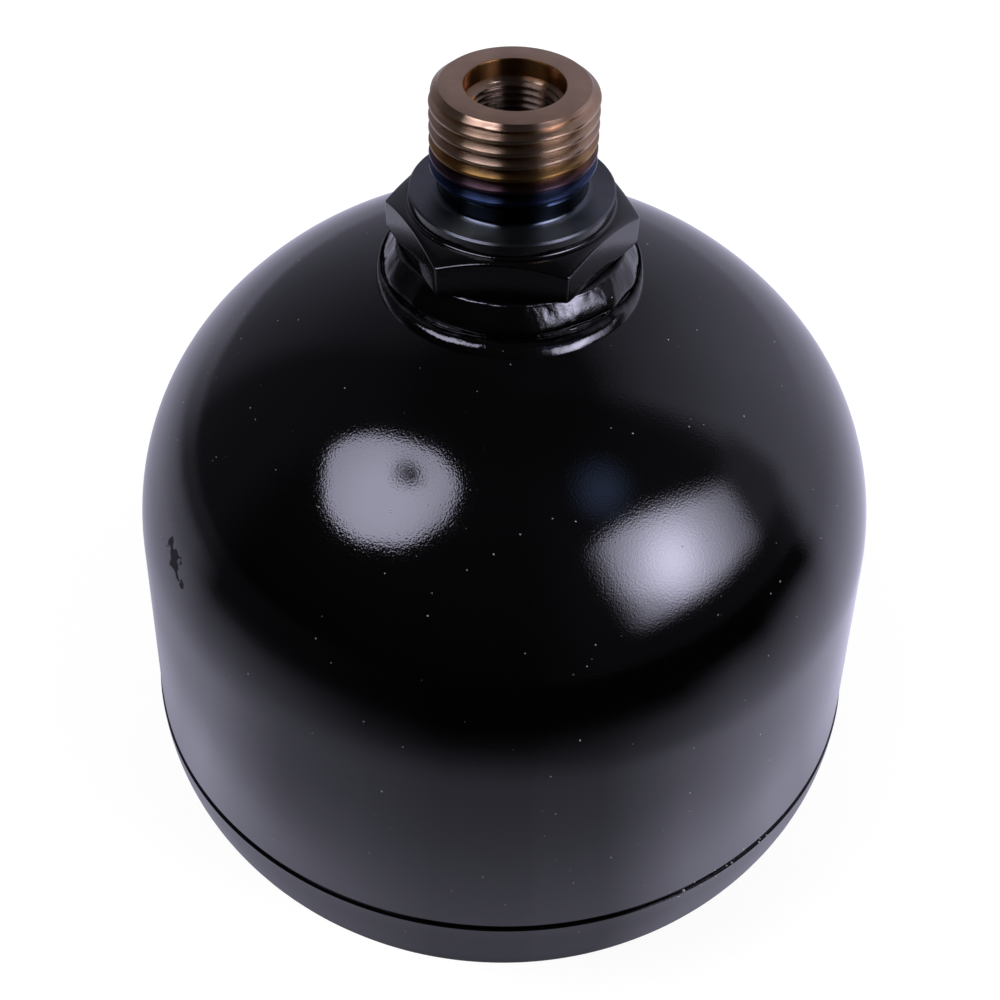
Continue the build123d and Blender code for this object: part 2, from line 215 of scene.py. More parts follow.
def piece(name, sheets, finish, replaced, sharp_angle=32.0):
    """Join sheets into one closed mesh, give it its finish, hang it on the root body and hide the CAD nodes it
    replaces.
    """
    mesh = bpy.data.meshes.new(name)
    work = bmesh.new()
    for vertices, faces in sheets:
        made = [work.verts.new(v) for v in vertices * MM]
        for face in faces:
            work.faces.new([made[i] for i in face])
    bmesh.ops.remove_doubles(work, verts=work.verts, dist=2e-7)
    bmesh.ops.dissolve_degenerate(work, edges=work.edges, dist=1e-8)
    bmesh.ops.recalc_face_normals(work, faces=work.faces)
    for face in work.faces:
        face.smooth = True
    work.to_mesh(mesh)
    work.free()
    mesh.set_sharp_from_angle(angle=radians(sharp_angle))
    made_piece = bpy.data.objects.new(name, mesh)
    bpy.context.scene.collection.objects.link(made_piece)
    made_piece.data.materials.append(finish)
    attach(made_piece, "root")
    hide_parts(*replaced)
    return made_piece


def even_angles(steps):
    return np.arange(steps) * 2 * pi / steps


# ---- finishes: tools ----------------------------------------------------------------------------
def colour(text):
    """Linear colour of an sRGB hex value."""
    parts = [int(text[i : i + 2], 16) / 255 for i in (1, 3, 5)]
    return tuple(p / 12.92 if p <= 0.04045 else ((p + 0.055) / 1.055) ** 2.4 for p in parts) + (1.0,)


def add(tree, kind, inputs=None, ramp=None, **settings):
    """Add a node with its settings; each input is a value or another node's output."""
    made = tree.nodes.new(kind)
    for key, value in settings.items():
        setattr(made, key, value)
    for socket, value in (inputs or {}).items():
        if isinstance(value, bpy.types.NodeSocket):
            tree.links.new(value, made.inputs[socket])
        else:
            made.inputs[socket].default_value = value
    if ramp:
        stops = made.color_ramp.elements
        while len(stops) < len(ramp):
            stops.new(1.0)
        for stop, (place, value) in zip(stops, ramp):
            stop.position = place
            stop.color = value if isinstance(value, tuple) else (value, value, value, 1.0)
    return made


def calc(tree, operation, *values):
    """Result of a sum with one to three numbers."""
    return add(tree, "ShaderNodeMath", dict(enumerate(values)), operation=operation).outputs[0]


def measure(tree, operation, *vectors):
    """Number that vectors give: a length, a distance or a dot product."""
    made = add(tree, "ShaderNodeVectorMath", dict(enumerate(vectors)), operation=operation)
    return made.outputs["Value"]


def joined(tree, *numbers):
    """Vector of two numbers."""
    return add(tree, "ShaderNodeCombineXYZ", dict(enumerate(numbers))).outputs[0]


def remap(tree, value, low, high, at_low=0.0, at_high=1.0, **settings):
    """Value taken from the range low to high into another, and held at that one's ends."""
    ends = {"From Min": low, "From Max": high, "To Min": at_low, "To Max": at_high}
    return add(tree, "ShaderNodeMapRange", {"Value": value, **ends}, **settings).outputs[0]


def ramped(tree, value, stops):
    """Colour or level on a ramp with (place, value) for its stops."""
    return add(tree, "ShaderNodeValToRGB", {0: value}, ramp=stops).outputs[0]


def blend(tree, share, first, second, way="MIX"):
    """Two colours, mixed, added or multiplied."""
    inputs = {0: share, 6: first, 7: second}
    return add(tree, "ShaderNodeMix", inputs, data_type="RGBA", blend_type=way).outputs[2]


def per_mm(size):
    """Texture scale, in waves per metre, of a feature of a size in mm."""
    return 1.0 / (size * MM)


def mottle(tree, place, size, detail, roughness=0.5):
    """Noise with patches of a size in mm."""
    inputs = {"Vector": place, "Scale": per_mm(size), "Detail": detail, "Roughness": roughness}
    return add(tree, "ShaderNodeTexNoise", inputs).outputs[0]


def band(tree, value, low, high, edge):
    """Mask that is 1 between two places of a value and fades over an edge outside them."""
    entering = remap(tree, value, low - edge, low)
    return calc(tree, "MULTIPLY", entering, remap(tree, value, high + edge, high))


def specks(tree, place, cell, size, share):
    """Mask of round specks: one may sit in every cell, of a size in mm, in a share of the cells."""
    nearest = add(tree, "ShaderNodeTexVoronoi", {"Vector": place, "Scale": per_mm(cell)}, feature="F1")
    # Each cell's random value makes its speck larger and paler, and leaves out those under the share.
    chance = nearest.outputs["Color"]
    chosen = remap(tree, chance, 0.75 - 0.5 * share, 0.85)
    grown = calc(tree, "DIVIDE", nearest.outputs["Distance"], chance)
    spot = remap(tree, grown, 0.8 * size / cell, 1.3 * size / cell, 1.0, 0.0)
    return calc(tree, "MULTIPLY", spot, chosen)


def new_finish(name):
    """Empty material, its node tree and the place in metres that its patterns are drawn by."""
    finish = bpy.data.materials.new(name)
    finish.use_nodes = True
    finish.node_tree.nodes.clear()
    return finish, finish.node_tree, add(finish.node_tree, "ShaderNodeTexCoord").outputs["Object"]


def close_finish(tree, shader):
    add(tree, "ShaderNodeOutputMaterial", {"Surface": shader.outputs[0]})


def around_axis(tree, place):
    """Azimuth as a share of a turn (0.5 at the front, more to its right), radius and height."""
    x, y, z = add(tree, "ShaderNodeSeparateXYZ", {0: place}).outputs
    angle = calc(tree, "ARCTAN2", x, calc(tree, "MULTIPLY", y, -1.0))
    return remap(tree, angle, -pi, pi), measure(tree, "LENGTH", joined(tree, x, y)), z


def turn_share(azimuth):
    """Place on an azimuth ramp of an azimuth in degrees."""
    return (azimuth + 180) / 360


# ---- finishes: kinds ----------------------------------------------------------------------------
# Enamel is a clear-bodied stoving paint: black, with a mirror gloss that the fine orange peel of
# spraying breaks up at the edges of bright reflections.
ENAMEL_BLACK, DUST_PALE, ENAMEL_IOR = "#020202", "#95959d", 1.52
PEEL_SIZE, DRAWN_SIZE = 0.27, 5.5  # of the orange peel, and of the slow waves of the drawn steel

# Scuff: a dull patch, rubbed matt, that runs down to the right on the left flank.  Its two vectors
# give shares of its length along that line and of its width across it.
scuff_azimuth, scuff_radius, scuff_height = radians(-54.8), 54.3, 45.4
scuff_slope, scuff_length, scuff_width = 2.2, 4.2, 1.9
scuff_right = Vector((cos(scuff_azimuth), sin(scuff_azimuth), 0))
scuff_outward = Vector((sin(scuff_azimuth), -cos(scuff_azimuth), 0))
scuff_place = (scuff_outward * scuff_radius + Vector((0, 0, seam + scuff_height))) * MM
scuff_run = (scuff_right * scuff_slope - Vector((0, 0, 1))).normalized() / (scuff_length * MM)
scuff_side = (scuff_right + Vector((0, 0, scuff_slope))).normalized() / (scuff_width * MM)


def gloss_black_enamel(name, peel_depth, drawn_depth, dust, weld_grain=None):
    """Sprayed gloss enamel: a mirror with orange peel, slow waves, and pale dust caught in it."""
    finish, tree, place = new_finish(name)
    turn, _, height = around_axis(tree, place)
    peel = mottle(tree, place, PEEL_SIZE, 1.0)
    drawn = mottle(tree, place, DRAWN_SIZE, 1.0)
    # Nibs: specks of dust up to a quarter of a millimetre wide, a hundred or so on the dome.
    nibs = specks(tree, place, 1.9, 0.13, dust)
    # Pale specks beside the seam, on the right of the front, in the dust's pale colour.
    by_seam = band(tree, height, (seam - 1.0) * MM, (seam + 0.9) * MM, 0.4 * MM)
    by_azimuth = band(tree, turn, turn_share(31), turn_share(54), 0.01)
    nearby = calc(tree, "MULTIPLY", by_seam, by_azimuth)
    pale_seam_specks = calc(tree, "MULTIPLY", specks(tree, place, 0.8, 0.26, 1.0), nearby)
    speck = calc(tree, "MAXIMUM", nibs, pale_seam_specks)
    # The scuff's edge is ragged, and its matt inside shows grey where the gloss would mirror.
    offset = add(tree, "ShaderNodeVectorMath", {0: place, 1: scuff_place}, operation="SUBTRACT").outputs[0]
    lengthwise, crosswise = (measure(tree, "DOT_PRODUCT", offset, way) for way in (scuff_run, scuff_side))
    distance = measure(tree, "LENGTH", joined(tree, lengthwise, crosswise))
    ragged = mottle(tree, place, 2.2, 4.0)
    scuff = remap(tree, calc(tree, "MULTIPLY_ADD", ragged, 3.4, distance), 2.3, 2.45, 1.0, 0.0)
    haze = remap(tree, drawn, 0.0, 1.0, 0.05, 0.08)
    dulled = calc(tree, "MULTIPLY_ADD", speck, 0.4, haze)
    rubbed = calc(tree, "MULTIPLY_ADD", scuff, 0.7, dulled)
    layers = [(drawn, drawn_depth), (peel, peel_depth), (speck, 0.05)]
    if weld_grain:
        grain_size, grain_depth = weld_grain
        layers.append((mottle(tree, place, grain_size, 3.0, 0.65), grain_depth))
    surface = {}
    for relief, depth in layers:
        bump = {"Height": relief, "Distance": depth * MM, "Strength": 1.0}
        surface = {"Normal": add(tree, "ShaderNodeBump", {**bump, **surface}).outputs[0]}
    inputs = {
        "Base Color": blend(tree, speck, colour(ENAMEL_BLACK), colour(DUST_PALE)),
        "Roughness": rubbed,
        "IOR": ENAMEL_IOR,
        **surface,
    }
    close_finish(tree, add(tree, "ShaderNodeBsdfPrincipled", inputs))
    return finish


def turned_metal(
    name, tint, roughness, mark_width, mark_depth, anisotropy=0.5, blotch=0.0, low=0.0, high=1.0, bore=None
):
    """Metal turned on a lathe: rings as fine as the tool's feed, which stretch highlights across them.

    The tint is a ramp over the height, in mm from low to high, and so may the roughness be; a bore is
    a radius in mm, inside which another ramp over the same heights holds, of tint and painted shade."""
    finish, tree, place = new_finish(name)
    _, radius, height = around_axis(tree, place)
    marks = mottle(tree, joined(tree, radius, height), mark_width, 2.0, 0.7)
    patches = mottle(tree, place, 3.2, 3.0)
    wander = remap(tree, patches, 0.0, 1.0, -blotch * MM, blotch * MM)
    share = remap(tree, calc(tree, "ADD", height, wander), low * MM, high * MM)
    oxide = ramped(tree, share, tint)
    if bore:
        # Inside the bore the ramp gives its tint with painted shade.
        bore_radius, bore_tint_and_shade = bore
        within = calc(tree, "LESS_THAN", radius, bore_radius * MM)
        oxide = blend(tree, within, oxide, ramped(tree, share, bore_tint_and_shade))
    smear = remap(tree, patches, 0.3, 0.7, 0.86, 1.08)
    polish = ramped(tree, share, roughness) if isinstance(roughness, list) else roughness
    uneven = remap(tree, marks, 0.0, 1.0, 0.8, 1.25)
    inputs = {
        "Base Color": blend(tree, 1.0, oxide, smear, "MULTIPLY"),
        "Metallic": 1.0,
        "Roughness": calc(tree, "MULTIPLY", uneven, polish),
        "Anisotropic": anisotropy,
        "Anisotropic Rotation": 0.25,
        "Tangent": add(tree, "ShaderNodeTangent", direction_type="RADIAL", axis="Z").outputs[0],
        "Normal": add(tree, "ShaderNodeBump", {"Height": marks, "Distance": mark_depth * MM}).outputs[0],
    }
    close_finish(tree, add(tree, "ShaderNodeBsdfPrincipled", inputs))
    return finish


def nitrile_rubber(name):
    """Moulded black rubber: matt, with the faint bloom and cloth-like grain of its mould."""
    finish, tree, place = new_finish(name)
    grain, bloom = mottle(tree, place, 0.4, 2.0), mottle(tree, place, 9.0, 3.0)
    inputs = {
        "Base Color": blend(tree, bloom, colour("#17171a"), colour("#2a2a2d")),
        "Roughness": 0.62,
        "IOR": 1.52,
        "Normal": add(tree, "ShaderNodeBump", {"Height": grain, "Distance": 0.01 * MM}).outputs[0],
    }
    close_finish(tree, add(tree, "ShaderNodeBsdfPrincipled", inputs))
    return finish


# ---- finishes: the ones this part has -----------------------------------------------------------
shell_enamel = gloss_black_enamel("gloss_black_enamel", peel_depth=0.0095, drawn_depth=0.010, dust=0.8)
weld_enamel = gloss_black_enamel(
    "enamel_over_weld", peel_depth=0.010, drawn_depth=0.014, dust=0.9, weld_grain=(0.5, 0.012)
)


def two_tone(at_low, at_high):
    """Ramp stops from one sRGB hex colour to another."""
    return [(0.0, colour(at_low)), (1.0, colour(at_high))]


def along_stud(stops):
    """Ramp stops from heights in mm over the collar's face, with sRGB hex colours or plain levels."""
    return [(h / stud_length, colour(v) if isinstance(v, str) else v) for h, v in stops]


# Steel tinted by the heat of the weld: blue-grey at the collar, then blue, purple, gold and bronze.
STUD_TINTS = [(0.0, "#5c5f63"), (0.15, "#50555b"), (0.6, "#20272e"), (2.6, "#20272f"), (4.1, "#2a3651")]
STUD_TINTS += [(4.9, "#333d56"), (5.4, "#463440"), (6.5, "#513d40"), (7.2, "#8f6838"), (8.0, "#957446")]
STUD_TINTS += [(9.2, "#a88f78"), (12.5, "#b1967c"), (14.0, "#b5967a"), (15.0, "#a58870")]
# Inside, the thread is pinkish steel with painted shade: darker than the outside at the same height,
# and darker the deeper it lies.  The wall of the mouth is straw brown.
BORE_TINTS_AND_SHADE = [(0.0, "#453a33"), (10.7, "#7c6b5f"), (12.2, "#8b7764"), (12.7, "#86603a"), (15.0, "#9c7446")]
# The collar is dull with scale, the undercut is the smoothest, and the thread is as its tool left it.
STUD_ROUGHNESS = [(0.0, 0.38), (0.15, 0.3), (0.35, 0.14), (1.8, 0.17), (2.8, 0.2), (3.4, 0.235), (15.0, 0.235)]
tinted_steel = turned_metal(
    "heat_tinted_turned_steel",
    along_stud(STUD_TINTS),
    roughness=along_stud(STUD_ROUGHNESS),
    mark_width=0.16,
    mark_depth=0.0015,
    anisotropy=0.92,
    blotch=0.35,
    low=collar_face,
    high=stud_end,
    bore=(bore_finish_radius, along_stud(BORE_TINTS_AND_SHADE)),
)
# Oiled steel, satin grey, and a little darker where the weld's heat reached it.
boss_steel = turned_metal(
    "oiled_turned_steel",
    two_tone("#8b8a88", "#6d6a68"),
    roughness=0.3,
    mark_width=0.18,
    mark_depth=0.005,
    low=0.0,
    high=flange_top,
)
# Clean steel inside the vessel: bright, with a satin sheen.
plain_steel = turned_metal(
    "plain_turned_steel", two_tone("#a3a3a3", "#a9a8a6"), roughness=0.32, mark_width=0.2, mark_depth=0.006
)
# Zinc: a pale plating with a cool, even sheen.
zinc_steel = turned_metal(
    "zinc_plated_steel",
    two_tone("#c3c8cf", "#b9bfc4"),
    roughness=0.3,
    mark_width=0.35,
    mark_depth=0.004,
    anisotropy=0.2,
)
# Annealed copper: soft orange-pink, a little dull.
copper = turned_metal(
    "annealed_copper",
    two_tone("#c98a66", "#b97a58"),
    roughness=0.35,
    mark_width=0.3,
    mark_depth=0.004,
    anisotropy=0.2,
)
rubber = nitrile_rubber("nitrile_rubber")

for node_name, finish in {
    "diaphragm": rubber,
    "closing_button": plain_steel,
    "clamp_ring": plain_steel,
    "charging_screw": zinc_steel,
    "screw_seal": copper,
}.items():
    for material_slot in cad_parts[node_name].material_slots:
        material_slot.material = finish

# ---- vessel -------------------------------------------------------------------------------------
round_vessel = even_angles(VESSEL_STEPS)
seat_radius = shell_radius - lower_wall
rim_lip = 0.12  # the sharp edge of each rim, drawn soft by paint

upper_inner_start = upper.skirt_radius(0, upper_wall)
seat_meets_wall = (upper_inner_start - seat_radius) / tan(upper.lean)
upper_section = (
    upper.meridian(0, groove_half_width(upper_rim_radius) + rim_lip, neck_radius, SKIN_STEP)
    + [(neck_radius, spot_face), (shell_hole_radius, spot_face)]
    + upper.meridian(upper_wall, bead_seat_height, shell_hole_radius, INNER_STEP)[::-1]
    + [
        (seat_radius, seam + bead_seat_height),
        (seat_radius, seam + seat_meets_wall),
        (upper_inner_start, seam),
        (upper_rim_radius - groove_depth, seam),
        (upper_rim_radius - rim_lip, seam + groove_half_width(upper_rim_radius - rim_lip)),
    ]
)
dome = lathed(upper_section, round_vessel, closed=True)
piece("upper_shell_dome", [dome], shell_enamel, ["upper_shell"])

lower_section = (
    lower.meridian(0, groove_half_width(shell_radius) + rim_lip, flange_radius, SKIN_STEP)
    + [(flange_radius, flange_top), (gas_hole_radius, flange_top)]
    + lower.meridian(lower_wall, ring_depth, gas_hole_radius, INNER_STEP)[::-1]
    + [
        (seat_radius, seam - ring_depth),
        (seat_radius, seam),
        (upper_rim_radius - groove_depth, seam),
        (shell_radius - rim_lip, seam - groove_half_width(shell_radius - rim_lip)),
    ]
)
dish = lathed(lower_section, round_vessel, closed=True)
piece("lower_shell_dish", [dish], shell_enamel, ["lower_shell"])


def wave(angles, lift, length, radius, seed):
    """Smooth random values round a circle of a radius, as long as the given length in mm."""
    scale = radius / length
    return np.array([noise.noise(Vector((cos(a) * scale, sin(a) * scale, lift + seed))) for a in angles])


# The bead lies in the groove: fine ripples where the pool froze, under a coat of paint, and drops of
# spatter on the right of the front.
bead_angles = even_angles(960)
bead_edge = upper_rim_radius - bead_recess
bead_half = groove_half_width(bead_edge)
ripple = 0.05 * wave(bead_angles, 0.0, 0.9, bead_edge, 3.0)
ripple += 0.07 * wave(bead_angles, 0.0, 4.0, bead_edge, 9.0)
spatter_middle, spatter_width = radians(312.5), radians(9)
by_spatter = np.exp(-(((bead_angles - spatter_middle) / spatter_width) ** 2))
ripple += 0.22 * by_spatter * np.maximum(0, wave(bead_angles, 0.0, 0.7, bead_edge, 13.0))
bead_section = [(upper_rim_radius - groove_depth, seam)]
for share in np.linspace(-1, 1, 9):
    swell = bead_crown * (1 - share * share)
    bead_section.append((bead_edge + swell + ripple * (1 - abs(share)), seam + bead_half * share))
bead = lathed(bead_section, bead_angles, closed=True)
piece("girth_weld_bead", [bead], weld_enamel, ["girth_weld"])


# ---- fluid connection: turned stud --------------------------------------------------------------
def sixty_degree(outer, inner, pitch, outer_flat, samples):
    """Thread profile over one pitch: outer flat, flank, inner flat, flank, with its edges eased."""
    flank = (outer - inner) * tan(radians(30)) / pitch
    ease = 0.06 * (outer - inner)
    profile = [(0.0, outer), (outer_flat / 2, outer - ease)]
    for t in np.linspace(0, 1, samples)[1:-1]:
        profile.append((outer_flat / 2 + flank * t, outer - (outer - inner) * t))
    profile += [(outer_flat / 2 + flank, inner + ease), (0.5, inner)]
    mirrored = [(1 - u, r) for u, r in profile[-2:0:-1]]
    return profile + mirrored


around = even_angles(THREAD_STEPS)
thread_bottom = collar_face + undercut_length
thread_top = stud_end - stud_end_chamfer * (1 - (stud_crest - stud_root) / stud_end_reduction)
chamfer_slope = stud_end_reduction / stud_end_chamfer


def trim_stud(r, z):
    lead = undercut_radius + (z - thread_bottom)
    end = stud_crest - (z - (stud_end - stud_end_chamfer)) * chamfer_slope
    return np.minimum(r, np.minimum(lead, end))


front = radians(-90) + swing
crest_at_front = collar_face + 13.1  # the top crest's height where the front is
crest_lead = (crest_at_front - stud_pitch * ((front % (2 * pi)) / (2 * pi)) - thread_bottom) % stud_pitch
stud_profile = sixty_degree(stud_crest, stud_root, stud_pitch, outer_flat=0.24, samples=5)
stud_thread = thread_sheet(
    stud_profile, stud_pitch, thread_bottom, thread_top, trim_stud, around, crest_lead
)

mouth_floor = stud_end - mouth_depth
cone_rise = tan(radians(mouth_cone))
thread_mouth = mouth_floor - (mouth_radius - port_crest) * cone_rise
port_top = mouth_floor - (mouth_radius - port_root) * cone_rise
port_bottom = thread_mouth - port_thread_length


def trim_port(r, z):
    cone = port_crest + (z - thread_mouth) / cone_rise
    fade = np.clip((z - port_bottom) / port_pitch, 0, 1)
    return np.maximum(port_crest + (r - port_crest) * fade, np.minimum(cone, port_root))


port_profile = sixty_degree(port_root, port_crest, port_pitch, outer_flat=0.18, samples=3)
port_thread = thread_sheet(port_profile, port_pitch, port_bottom, port_top, trim_port, around)

paint_line = collar_face - collar_edge - 0.05
edge_soft, mouth_break = 0.06, 0.1  # of the end's outer edge, and of the mouth's
stud_outside = supported(
    [
        (passage_radius, spigot_end),
        (liner_radius, spigot_end),
        (liner_radius, paint_line),
        (collar_radius, paint_line),
        (collar_radius, collar_face - collar_edge),
        (collar_radius - collar_edge, collar_face),
    ]
    + arc((undercut_radius + undercut_fillet, collar_face + undercut_fillet), undercut_fillet, 270, 180, 10)
    + [(undercut_radius, thread_bottom)]
)
stud_inside = [
    (stud_root, thread_top),
    (stud_crest - stud_end_reduction + edge_soft, stud_end - edge_soft * 0.4),
    (stud_crest - stud_end_reduction - edge_soft, stud_end),
    (mouth_radius + 1.6 * mouth_break, stud_end),
    (mouth_radius + mouth_break, stud_end),
    (mouth_radius + 0.3 * mouth_break, stud_end - 0.4 * mouth_break),
    (mouth_radius, stud_end - 1.2 * mouth_break),
    (mouth_radius, stud_end - 2 * mouth_break),
    (mouth_radius, mouth_floor + 0.08),
    (mouth_radius, mouth_floor),
    (port_root, port_top),
]
passage_top = port_bottom - (port_crest - passage_radius) * cone_rise
stud_below = [
    (port_crest, port_bottom),
    (passage_radius, passage_top),
    (passage_radius, passage_top - 0.1),
    (passage_radius, spigot_end),
]
stud_sheets = [lathed(part, around) for part in (stud_outside, stud_inside, stud_below)]
stud_sheets += [stud_thread, port_thread]
piece("stud_turned", stud_sheets, tinted_steel, ["port_adapter"])

# ---- fluid connection: painted hexagon and neck -------------------------------------------------
corner_span = radians(3.0)
corner_angles = [radians(60 * k) + s for k in range(6) for s in np.linspace(-corner_span, corner_span, 17)]
hexagon_angles = np.unique(np.round(np.concatenate([even_angles(180), np.array(corner_angles) % (2 * pi)]), 9))
from_corner = (hexagon_angles + radians(30)) % radians(60) - radians(30)
corner_centre = (half_flats - hexagon_corner_round) / cos(radians(30))
round_side, round_out = (hexagon_corner_round * share(radians(30)) for share in (sin, cos))
round_ends = atan2(round_side, corner_centre + round_out)
on_flat = half_flats / np.cos(radians(30) - np.abs(from_corner))
sideways = np.minimum((corner_centre * np.sin(from_corner)) ** 2, hexagon_corner_round**2)
on_round = corner_centre * np.cos(from_corner) + np.sqrt(hexagon_corner_round**2 - sideways)
hexagon_outline = np.where(np.abs(from_corner) < round_ends, on_round, on_flat)
chamfer_rise = tan(radians(hexagon_chamfer))
chamfer_meets = hexagon_top - (hexagon_outline - hexagon_face_radius) * chamfer_rise
edge_ease = 0.16  # paint and a broken edge round the corners by this much
support = 0.06  # from a corner to the ring that keeps its neighbour's shading flat
foot_centre = (collar_radius + collar_foot_fillet, hexagon_top + collar_foot_fillet)
# Points round the two edges: inwards and up, in shares of the ease.
LOWER_EDGE = [(2, 0), (1, 0), (0.3, 0.3), (0, 1), (0, 2)]
UPPER_EDGE = [(0, -2), (0, -1), (0.12, -0.35), (0.5, 0.1), (1, chamfer_rise)]
hexagon_section = (
    supported(
        [
            (liner_radius, paint_line),
            (liner_radius, spigot_end),
            (spigot_radius, spigot_end),
            (spigot_radius, spot_face),
            (neck_radius, spot_face),
            (neck_radius, hexagon_bottom),
        ]
    )
    + [
        (hexagon_outline - edge_ease * inward, height + edge_ease * rise)
        for height, steps in ((hexagon_bottom, LOWER_EDGE), (chamfer_meets, UPPER_EDGE))
        for inward, rise in steps
    ]
    + [
        (
            np.maximum(hexagon_outline - 2 * edge_ease, hexagon_face_radius + 0.02),
            np.minimum(chamfer_meets + 2 * edge_ease * chamfer_rise, hexagon_top - 0.01),
        ),
        (hexagon_face_radius, hexagon_top),
    ]
    + [(foot_centre[0] + support, hexagon_top)]
    + arc(foot_centre, collar_foot_fillet, 270, 180, 6)
    + [(collar_radius, foot_centre[1] + support), (collar_radius, paint_line - support)]
    + [(collar_radius, paint_line), (liner_radius, paint_line)]
)
hexagon = lathed(hexagon_section, hexagon_angles)
piece("hexagon_painted", [hexagon], shell_enamel, ["port_adapter"])

# ---- friction-weld flash round the neck ---------------------------------------------------------
flash_angles = even_angles(600)
# Knots of its section: out from the neck and down from the hexagon, in mm.  The upper curl slopes
# outwards from under the hexagon and rolls in to a narrow valley; the lower curl lies on the crown
# and reaches further at the front than at the sides.
FLASH_KNOTS = [(0.05, 0.12), (0.55, 0.16), (0.88, 0.34), (1.12, 0.7), (1.62, 1.48), (2.2, 2.38), (2.65, 3.25)]
FLASH_KNOTS += [(2.8, 3.85), (2.75, 4.12), (3.3, 3.92), (4.0, 3.98), (4.6, 4.38), (5.05, 5.0), (5.3, 5.5)]
flash_knots = [(neck_radius + out, hexagon_bottom - down) for out, down in FLASH_KNOTS]
valley_radius, toe_radius = neck_radius + 2.75, flash_knots[-1][0]
side_reach, front_reach = 18.35, 2.3  # of the lower curl's toe: at the sides, and further by this in front
curl_radius = 17.5  # where the lengths of its waves hold


def through(knots, steps):
    """Smooth line through knots, a Catmull-Rom spline with an even number of steps between two."""
    knots = np.array(knots)
    ends = np.vstack([2 * knots[0] - knots[1], knots, 2 * knots[-1] - knots[-2]])
    line = []
    for p0, p1, p2, p3 in zip(ends, ends[1:], ends[2:], ends[3:]):
        for t in np.arange(steps) / steps:
            bend = 2 * p0 - 5 * p1 + 4 * p2 - p3
            line.append(0.5 * (2 * p1 + (p2 - p0) * t + bend * t**2 + (3 * p1 - 3 * p2 + p3 - p0) * t**3))
    return np.array(line + [knots[-1]])


flash_line = through(flash_knots, 5)
run = np.gradient(flash_line, axis=0)
run /= np.linalg.norm(run, axis=1)[:, None]
outward = np.stack([-run[:, 1], run[:, 0]], -1)
toward_front = np.maximum(0, -np.sin(flash_angles - swing))
stretch = (side_reach + front_reach * toward_front - valley_radius) / (toe_radius - valley_radius)
flash_section = []
for i, ((r, z), normal) in enumerate(zip(flash_line, outward)):
    share = i / (len(flash_line) - 1)
    hold = min(1.0, 6 * share, 4 * (1 - share))
    lumps = 0.30 * wave(flash_angles, share * 1.6, 6.0, curl_radius, 1.0)
    lumps += 0.13 * wave(flash_angles, share * 3.0, 2.4, curl_radius, 5.0)
    lumps += 0.03 * wave(flash_angles, share * 9.0, 0.8, curl_radius, 8.0)
    swell = lumps * hold
    beyond = max(0.0, r - valley_radius)
    if share > 0.56 and beyond > 0:
        # Past the valley the section is stretched, and follows the crown down.
        placed = valley_radius + beyond * stretch
        sink = np.array([upper.crown_z(v) for v in placed]) - upper.crown_z(r)
        flash_section.append((placed + normal[0] * swell, z + sink + normal[1] * swell))
    else:
        flash_section.append((r + normal[0] * swell, z + normal[1] * swell))
toe_place = flash_section[-1][0]
# Its hidden underside runs back along the crown to the neck.
for share in (0.25, 0.5, 0.75, 1.0):
    under = toe_place + (neck_radius - toe_place) * share
    flash_section.append((under, np.array([upper.crown_z(v) for v in under]) - 0.02))
curls = lathed(flash_section, flash_angles, closed=True)
piece("neck_flash_curls", [curls], weld_enamel, ["neck_weld_flash"], sharp_angle=60.0)


# ---- gas connection -----------------------------------------------------------------------------
def trim_foot(r, z):
    chamfer = foot_crest - foot_chamfer + z
    run_out = foot_crest - (z - (foot_thread_length - 0.5 * foot_pitch)) * foot_run_out
    return np.minimum(r, np.minimum(chamfer, np.maximum(run_out, foot_undercut_radius)))


foot_profile = sixty_degree(foot_crest, foot_root, foot_pitch, outer_flat=0.14, samples=4)
foot_start = foot_root - (foot_crest - foot_chamfer)
foot_thread = thread_sheet(foot_profile, foot_pitch, foot_start, foot_thread_length, trim_foot, around)
foot_end_radius = float(trim_foot(np.array([foot_crest]), np.array([foot_thread_length]))[0])
boss_face = supported(
    [
        (gas_passage_radius, gas_spigot_end),
        (gas_passage_radius, screw_hole_end),
        (screw_hole_radius, screw_hole_end),
        (screw_hole_radius, recess_floor),
        (recess_radius, recess_floor),
        (recess_radius, boss_break),
        (recess_radius + boss_break, 0.0),
        (foot_crest - foot_chamfer, 0.0),
        (foot_root, foot_start),
    ]
)
boss_flange = supported(
    [
        (foot_end_radius, foot_thread_length),
        (foot_undercut_radius, foot_thread_length + boss_break),
        (foot_undercut_radius, flange_bottom),
        (flange_radius - boss_break, flange_bottom),
        (flange_radius, flange_bottom + boss_break),
        (flange_radius, flange_top),
        (gas_spigot_radius, flange_top),
        (gas_spigot_radius, gas_spigot_end),
        (gas_passage_radius, gas_spigot_end),
    ]
)
boss_sheets = [lathed(boss_face, around), lathed(boss_flange, around), foot_thread]
piece("gas_boss_turned", boss_sheets, boss_steel, ["gas_boss"])

